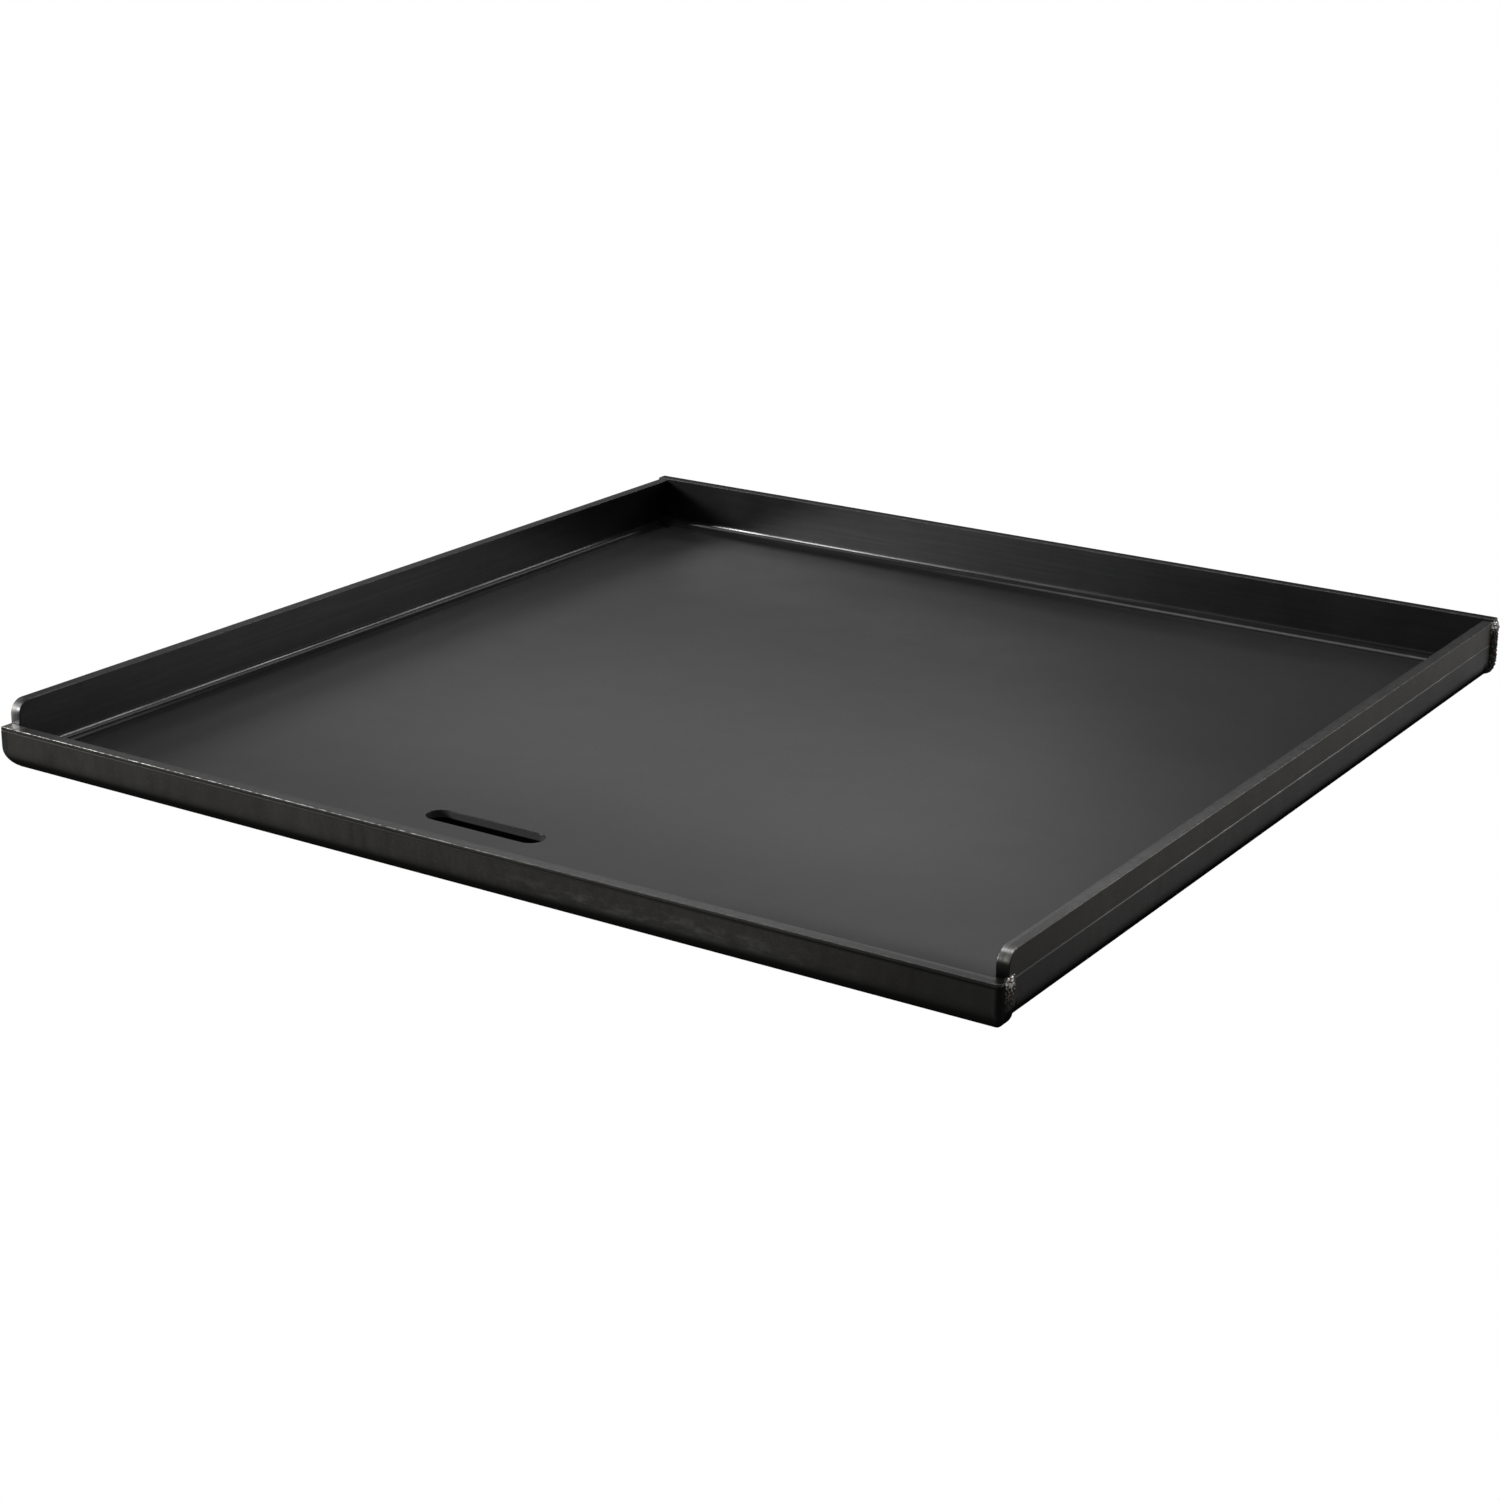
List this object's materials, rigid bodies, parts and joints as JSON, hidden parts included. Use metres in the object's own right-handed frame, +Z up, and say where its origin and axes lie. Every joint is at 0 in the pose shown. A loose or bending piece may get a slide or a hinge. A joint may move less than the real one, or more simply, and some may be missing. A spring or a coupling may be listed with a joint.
{
  "type": "flat top griddle",
  "caption": "Flat steel griddle plate that drops onto a grill: low folded walls, a lower front lip and a grease slot, welded at its corners.",
  "frame": {"origin": "centre of the bounding box on the underside, the plane the griddle rests on", "axes": "+X towards the right wall, +Y from the front lip to the back wall, +Z up out of the cooking surface"},
  "size_m": [0.454, 0.467, 0.029],
  "materials": {
    "black_steel": "satin oiled black mill scale, brighter along worn edges",
    "weld_metal": "rough as-welded beads, dark with bright spots"
  },
  "bodies": {
    "root": {"griddle_plate": "black_steel", "rear_left_seam_weld": "weld_metal", "rear_right_seam_weld": "weld_metal", "front_left_seam_weld": "weld_metal", "front_right_seam_weld": "weld_metal", "rear_left_relief_fill": "weld_metal", "rear_right_relief_fill": "weld_metal", "front_left_relief_fill": "weld_metal", "front_right_relief_fill": "weld_metal"}
  },
  "joints": []
}
